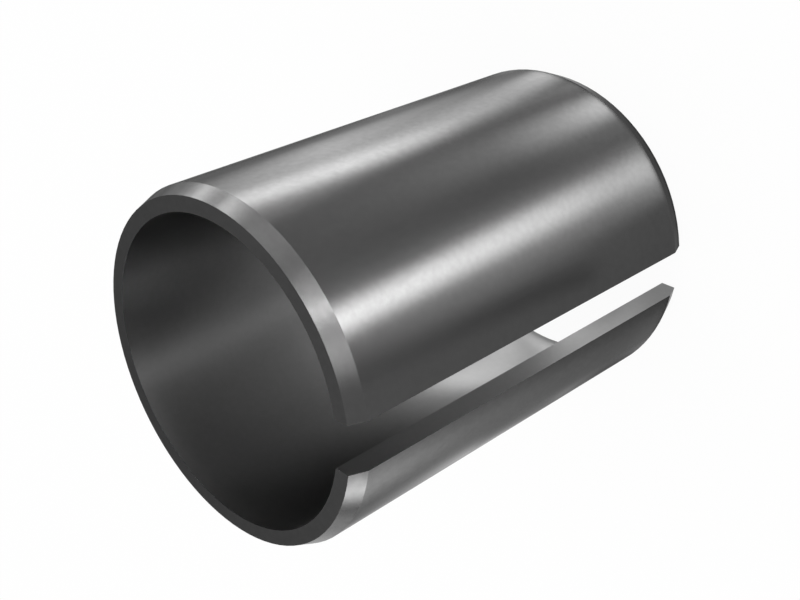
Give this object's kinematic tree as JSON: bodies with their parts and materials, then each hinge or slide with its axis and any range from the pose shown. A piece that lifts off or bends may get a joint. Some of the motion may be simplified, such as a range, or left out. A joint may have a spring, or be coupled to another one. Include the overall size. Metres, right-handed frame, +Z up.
{
  "type": "spring roll pin",
  "caption": "Slotted spring roll pin: a thin steel strip rolled into an open tube with chamfered ends, pressed into a hole to locate or lock parts.",
  "frame": {"origin": "centre of the bottom end, on the pin's axis, where the pin stands on a surface", "axes": "+Z up along the pin's axis from the bottom end to the top end; +X out through the middle of the slot; +Y completes the right-handed set"},
  "size_m": [0.0159, 0.016, 0.0215],
  "materials": {
    "spring_steel": "dark satin spring steel, oiled, plain with no plating"
  },
  "bodies": {
    "root": {"spring_pin": "spring_steel"}
  },
  "joints": []
}
